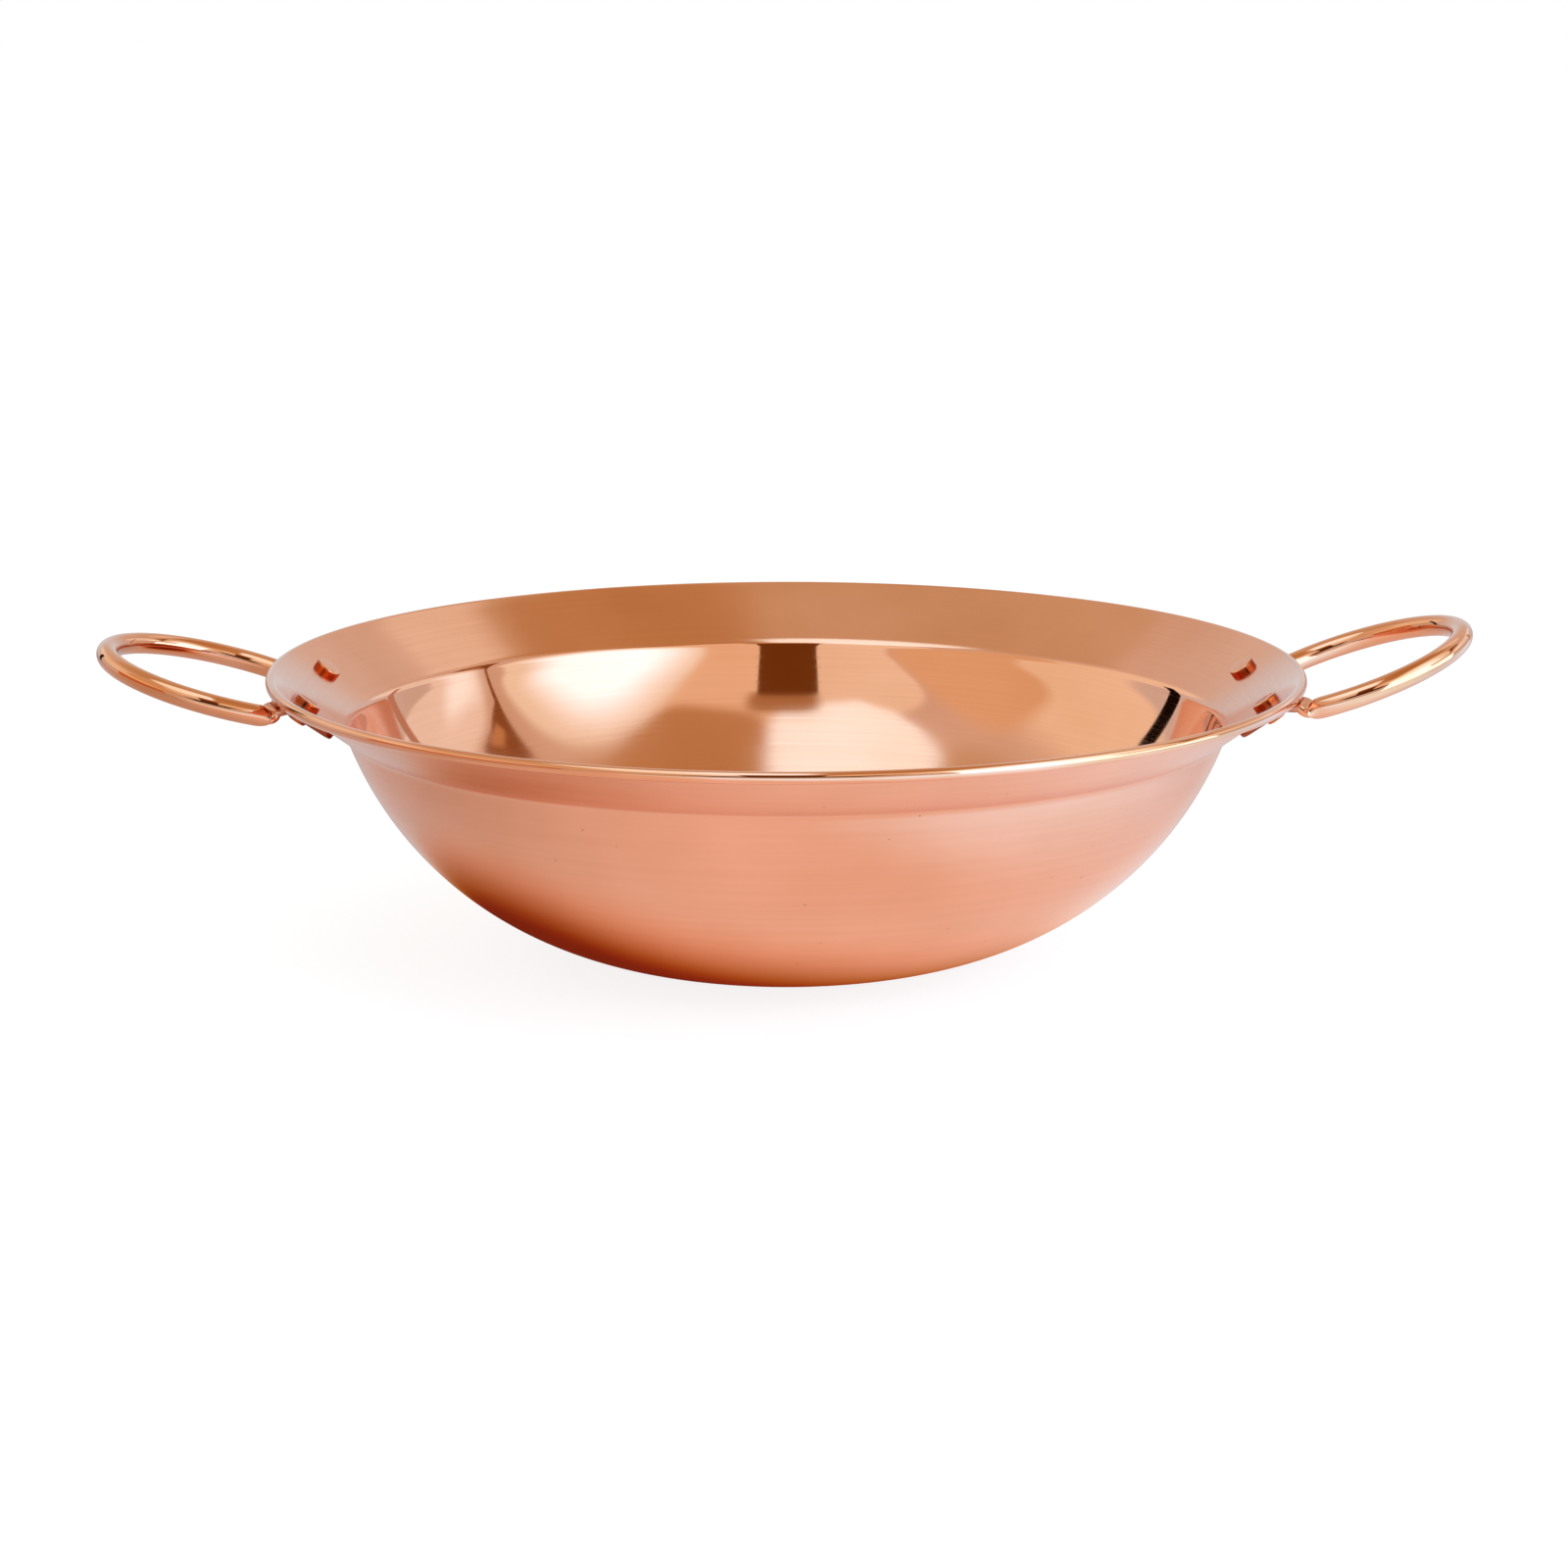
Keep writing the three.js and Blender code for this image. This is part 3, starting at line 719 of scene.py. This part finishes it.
def buffed_inside(finishes):
    """Copper plate inside the bowl, buffed to a mirror near the mouth and less well lower down."""
    # The eye gets sharp reflections high on the wall and faint rings that blur them lower down.
    # Real buffing lines are too fine to show, so they are drawn 0.7 mm wide.
    material = empty_material("copper_plate_buffed")
    tree = material.node_tree
    marks = marks_round_axis(tree, mark_length=50 * MM, mark_width=0.7 * MM)
    place = add_node(tree, "ShaderNodeTexCoord").outputs["Object"]
    height = add_node(tree, "ShaderNodeSeparateXYZ", links={0: place})
    dulling = add_node(tree, "ShaderNodeMapRange", {
        "interpolation_type": "SMOOTHSTEP", "From Min": BUFFED_FROM[0], "From Max": BUFFED_FROM[1],
        "To Min": DULLED_BY, "To Max": 0.0}, {"Value": height.outputs["Z"]}).outputs["Result"]
    tone = cloudy_tone(tree, plate_tones(finishes), patch=35 * MM, marks=marks, streaks=0.3)
    return finish_metal(material, tone, marks, finishes.polish, spread=0.03, relief=0.0022 * MM,
                        anisotropy=0.5, dulling=dulling)


def drawn_wire(finishes):
    """Copper plate on drawn steel wire: fine lines left by the die run along it."""
    # The eye gets long bright lines that follow the bow, broken a little by the die's marks, and dark red
    # ends: painted shade where they lie under the flange. Real die lines are too fine to show, so they are
    # drawn 0.5 mm wide.
    material = empty_material("copper_plate_drawn_wire")
    tree = material.node_tree
    place = add_node(tree, "ShaderNodeUVMap", {"uv_map": WIRE_UV}).outputs["UV"]
    stretched = add_node(tree, "ShaderNodeVectorMath", {
        "operation": "DIVIDE", 1: DIE_LINES}, {0: place})
    marks = add_node(tree, "ShaderNodeTexNoise", {"Scale": 1.0, "Detail": 2.0}, {
        "Vector": stretched.outputs[0]}).outputs["Fac"]
    tone = cloudy_tone(tree, (finishes.wire, finishes.wire_deep), patch=20 * MM, marks=marks, streaks=0.4)
    from_end = add_node(tree, "ShaderNodeSeparateXYZ", links={0: place})
    # Painted shade: the wire darkens towards its tips, where it lies under the flange
    darkened = add_node(tree, "ShaderNodeMapRange", {
        "interpolation_type": "SMOOTHSTEP", "From Min": PAINTED_SHADE_ENDS[0], "From Max": PAINTED_SHADE_ENDS[1],
        "To Min": 1.0, "To Max": 0.0}, {"Value": from_end.outputs["X"]})
    tone = add_node(tree, "ShaderNodeMix", {"data_type": "RGBA", 7: finishes.tang}, {
        "Factor": darkened.outputs["Result"], 6: tone}).outputs[2]
    return finish_metal(material, tone, marks, finishes.bright, spread=0.03, relief=0.001 * MM)


def set_marks(tree):
    """Small uneven marks that a rivet set leaves."""
    place = add_node(tree, "ShaderNodeTexCoord").outputs["Object"]
    marks = add_node(tree, "ShaderNodeTexNoise", {"Scale": 1 / SET_MARK, "Detail": 1.0}, {"Vector": place})
    return marks.outputs["Fac"]


def headed_rivet(finishes):
    """Copper plate on a cold-headed rivet: a smooth face, slightly uneven from the set."""
    # The eye gets a small satin cap whose reflections wobble.
    material = empty_material("copper_plate_headed_rivet")
    tree = material.node_tree
    marks = set_marks(tree)
    tone = cloudy_tone(tree, plate_tones(finishes), patch=8 * MM, marks=marks, streaks=0.4)
    return finish_metal(material, tone, marks, finishes.fine_satin, spread=0.03, relief=0.006 * MM)


def shaded_rivet_side(finishes):
    """Copper plate on a rivet's side, coloured a deep red-orange as painted shade."""
    # The eye gets a deep red-orange line round the foot of each head: painted shade.
    material = empty_material("copper_plate_painted_shade")
    tree = material.node_tree
    marks = set_marks(tree)
    tone = cloudy_tone(tree, (finishes.tang, finishes.scale), patch=6 * MM, marks=marks, streaks=0.5)
    return finish_metal(material, tone, marks, finishes.satin, spread=0.05, relief=0.006 * MM)


def settle(piece, node, materials):
    """Gives a piece its materials, hangs it on the body, and hides the solid that it stands for."""
    for material in materials:
        piece.data.materials.append(material)
    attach(piece, BODY)
    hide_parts(node)


class POT_OT_bowl(bpy.types.Operator):
    """Builds the pressed bowl with its flange and rolled rim"""
    bl_idname = "pot.bowl"
    bl_label = "Bowl"

    def execute(self, context):
        scene = context.scene
        bowl, finishes = scene.pot_bowl, scene.pot_finishes
        piece = new_object("bowl_shell", mesh_of(spun(bowl_profile(bowl), BOWL_TURNS), "bowl_shell"))
        finish_of = {OUTSIDE: satin_outside, RIM: rolled_rim, FLANGE: satin_flange, INSIDE: buffed_inside}
        settle(piece, "bowl", [finish_of[slot](finishes) for slot in sorted(finish_of)])
        return {"FINISHED"}


class POT_OT_handles(bpy.types.Operator):
    """Builds the two bent wire handles with their flattened ends"""
    bl_idname = "pot.handles"
    bl_label = "Handles"

    def execute(self, context):
        scene = context.scene
        bright = drawn_wire(scene.pot_finishes)
        for side, facing, bow, _ in handle_sides(scene.pot_handles):
            shape = lofted(handle_stations(scene, bow))
            shape.transform(Matrix.Rotation(facing, 4, "Z"))
            piece = new_object(f"wire_handle_{side}", mesh_of(shape, f"wire_handle_{side}"))
            settle(piece, f"handle_{side}", [bright])
        return {"FINISHED"}


class POT_OT_rivets(bpy.types.Operator):
    """Builds the four rivets that hold the handles"""
    bl_idname = "pot.rivets"
    bl_label = "Rivets"

    def execute(self, context):
        scene = context.scene
        finish_of = {RIVET_TOP: headed_rivet, RIVET_SIDE: shaded_rivet_side}
        materials = [finish_of[slot](scene.pot_finishes) for slot in sorted(finish_of)]
        profile = rivet_profile(scene.pot_bowl, scene.pot_rivets, scene.pot_handles)
        for side, facing, _, seats in handle_sides(scene.pot_handles):
            for place, across in seats.items():
                shape = spun(profile, RIVET_TURNS)
                seat = Matrix.Rotation(facing, 4, "Z") @ seat_of(scene.pot_bowl, scene.pot_rivets, across)
                shape.transform(seat)
                name = f"rivet_head_{side}_{place}"
                piece = new_object(name, mesh_of(shape, name))
                settle(piece, f"rivet_{side}_{place}", materials)
        return {"FINISHED"}


def flat_sheet(name, corners):
    """A flat sheet of the stage, facing as its corners run."""
    shape = bmesh.new()
    shape.faces.new([shape.verts.new(corner) for corner in corners])
    mesh = bpy.data.meshes.new(name)
    shape.to_mesh(mesh)
    shape.free()
    sheet = new_object(name, mesh)
    return sheet


def floor_paint(stage):
    """Matt pale floor: white to the eye but for the shadow, and lit from one side as the metal sees it."""
    material = empty_material("matt_floor_paint")
    tree = material.node_tree
    ray = add_node(tree, "ShaderNodeLightPath")
    place = add_node(tree, "ShaderNodeTexCoord").outputs["Object"]

    # The metal sees the floor's own white fade into the pot's shade, and away from the light
    oval = add_node(tree, "ShaderNodeVectorMath", {
        "operation": "MULTIPLY_ADD", 1: SHADE_STRETCH, 2: SHADE_SHIFT}, {0: place})
    from_shade = add_node(tree, "ShaderNodeVectorMath", {"operation": "LENGTH"}, {0: oval.outputs[0]})
    shade = add_node(tree, "ShaderNodeMapRange", {
        "data_type": "FLOAT_VECTOR", "interpolation_type": "SMOOTHSTEP", 7: SHADE_FULL, 8: SHADE_END,
        9: SHADE_LEAST}, {6: from_shade.outputs["Value"]})
    to_light = add_node(tree, "ShaderNodeVectorMath", {"operation": "DOT_PRODUCT", 1: LIGHT_WAY}, {0: place})
    lit = add_node(tree, "ShaderNodeMapRange", {
        "data_type": "FLOAT_VECTOR", 7: [LIT_EDGE[0]] * 3, 8: [LIT_EDGE[1]] * 3,
        9: [stage.metal_low * tone for tone in stage.floor_dim[:3]],
        10: [stage.metal_lift * tone for tone in stage.floor_lit[:3]]}, {6: to_light.outputs["Value"]})
    shaded = add_node(tree, "ShaderNodeVectorMath", {"operation": "MULTIPLY"}, {
        0: lit.outputs["Vector"], 1: shade.outputs["Vector"]})
    for way, start, end, least in FLOOR_DIMS:
        along = add_node(tree, "ShaderNodeVectorMath", {"operation": "DOT_PRODUCT", 1: way}, {0: place})
        dim = add_node(tree, "ShaderNodeMapRange", {
            "From Min": start, "From Max": end, "To Min": 1, "To Max": least}, {
            "Value": along.outputs["Value"]})
        shaded = add_node(tree, "ShaderNodeVectorMath", {"operation": "SCALE"}, {
            0: shaded.outputs[0], "Scale": dim.outputs["Result"]})
    in_metal = add_node(tree, "ShaderNodeEmission", links={"Color": shaded.outputs[0]})

    # The eye sees the matt paint and its shadow, lifted to white
    matt = add_node(tree, "ShaderNodeBsdfDiffuse", {"Color": stage.floor})
    white = add_node(tree, "ShaderNodeMath", {"operation": "MULTIPLY", 1: stage.floor_lift}, {
        0: ray.outputs["Is Camera Ray"]})
    glow = add_node(tree, "ShaderNodeEmission", links={"Strength": white.outputs[0]})
    to_eye = add_node(tree, "ShaderNodeAddShader", links={0: matt.outputs[0], 1: glow.outputs[0]})
    both = add_node(tree, "ShaderNodeMixShader", links={
        0: ray.outputs["Is Glossy Ray"], 1: to_eye.outputs[0], 2: in_metal.outputs[0]})
    add_node(tree, "ShaderNodeOutputMaterial", links={"Surface": both.outputs[0]})
    return material


def lit_card(name, tint, strength, fade=0):
    """A card or softbox; its edge fades over a part of the way to its middle."""
    material = empty_material(name)
    tree = material.node_tree
    surface = add_node(tree, "ShaderNodeEmission", {"Color": linear(tint), "Strength": strength})
    if fade:
        # Distance from the middle, 1 at the edge of a square with round corners
        place = add_node(tree, "ShaderNodeTexCoord").outputs["Generated"]
        spot = add_node(tree, "ShaderNodeMapping", {
            "Location": (-1, -1, 0), "Scale": (2, 2, 0)}, {"Vector": place}).outputs[0]
        square = add_node(tree, "ShaderNodeVectorMath", {"operation": "MULTIPLY"}, {0: spot, 1: spot})
        fourth = add_node(tree, "ShaderNodeVectorMath", {"operation": "DOT_PRODUCT"}, {
            0: square.outputs[0], 1: square.outputs[0]})
        out = add_node(tree, "ShaderNodeMath", {"operation": "POWER", 1: 1 / 4}, {
            0: fourth.outputs["Value"]})
        solid = add_node(tree, "ShaderNodeMapRange", {
            "interpolation_type": "SMOOTHSTEP", "From Min": 1 - fade, "From Max": 1.0,
            "To Min": 1.0, "To Max": 0.0}, {"Value": out.outputs[0]})
        clear = add_node(tree, "ShaderNodeBsdfTransparent")
        surface = add_node(tree, "ShaderNodeMixShader", links={
            "Fac": solid.outputs["Result"], 1: clear.outputs[0], 2: surface.outputs[0]})
    add_node(tree, "ShaderNodeOutputMaterial", links={"Surface": surface.outputs[0]})
    return material


class POT_OT_stage(bpy.types.Operator):
    """Sets the floor, the light and the camera"""
    bl_idname = "pot.stage"
    bl_label = "Stage"

    def execute(self, context):
        scene = context.scene
        stage = scene.pot_stage
        scene.view_settings.view_transform = "Standard"

        floor_corners = oblong(-FLOOR_REACH, -FLOOR_REACH, FLOOR_REACH, FLOOR_REACH)
        floor = flat_sheet("floor", [(x, y, 0) for x, y in floor_corners])
        floor.data.materials.append(floor_paint(stage))
        for layer, (name, tint, strength, fade, height, corners) in enumerate(CARDS):
            card = flat_sheet(name, [(x, y, height - layer * CARD_GAP) for x, y in corners])
            card.data.materials.append(lit_card(name, tint, strength, fade))
            card.visible_camera = False
        for name, tint, strength, height, (near, far) in STANDS:
            card = flat_sheet(name, [(*near, 0), (*far, 0), (*far, height), (*near, height)])
            card.data.materials.append(lit_card(name, tint, strength))
            card.visible_camera = False

        world = bpy.data.worlds.new("studio")
        world.use_nodes = True
        world.node_tree.nodes.clear()
        ray = add_node(world.node_tree, "ShaderNodeLightPath")
        tint = add_node(world.node_tree, "ShaderNodeMix", {
            "data_type": "RGBA", 6: stage.sky, 7: stage.backdrop}, {"Factor": ray.outputs["Is Camera Ray"]})
        sky = add_node(world.node_tree, "ShaderNodeBackground", links={"Color": tint.outputs[2]})
        add_node(world.node_tree, "ShaderNodeOutputWorld", links={"Surface": sky.outputs[0]})
        scene.world = world

        camera = bpy.data.cameras.new("camera")
        camera.lens = stage.lens
        camera.sensor_width = SENSOR_WIDTH
        view = bpy.data.objects.new("camera", camera)
        scene.collection.objects.link(view)
        view.location = stage.camera_place
        aim = Vector(stage.camera_aim) - Vector(stage.camera_place)
        view.rotation_euler = aim.to_track_quat("-Z", "Y").to_euler()
        scene.camera = view
        return {"FINISHED"}


class POT_PT_panel(bpy.types.Panel):
    """Lists the pot's sizes, colours and pieces"""
    bl_label = "Pot"
    bl_idname = "POT_PT_panel"
    bl_space_type = "VIEW_3D"
    bl_region_type = "UI"
    bl_category = "Pot"

    def draw(self, context):
        for name in GROUPS:
            group = getattr(context.scene, name)
            box = self.layout.box()
            box.label(text=group.bl_rna.name)
            for prop in group.bl_rna.properties:
                if prop.identifier not in ("rna_type", "name"):
                    box.prop(group, prop.identifier)
        for operator in OPERATORS:
            self.layout.operator(operator.bl_idname)


GROUPS = {
    "pot_bowl": BowlSizes,
    "pot_rivets": RivetSizes,
    "pot_handles": HandleSizes,
    "pot_finishes": Finishes,
    "pot_stage": StageSettings,
}
OPERATORS = (POT_OT_stage, POT_OT_bowl, POT_OT_handles, POT_OT_rivets)
CLASSES = (*GROUPS.values(), *OPERATORS, POT_PT_panel)


def register():
    """Registers the classes and hangs the sizes on the scene."""
    for kind in CLASSES:
        bpy.utils.register_class(kind)
    for name, group in GROUPS.items():
        setattr(bpy.types.Scene, name, PointerProperty(type=group))


def unregister():
    """Takes the sizes and the classes away again."""
    for name in GROUPS:
        delattr(bpy.types.Scene, name)
    for kind in reversed(CLASSES):
        bpy.utils.unregister_class(kind)


def main():
    """Builds everything in order."""
    register()
    bpy.ops.pot.stage()
    bpy.ops.pot.bowl()
    bpy.ops.pot.handles()
    bpy.ops.pot.rivets()


if __name__ == "__main__":
    main()
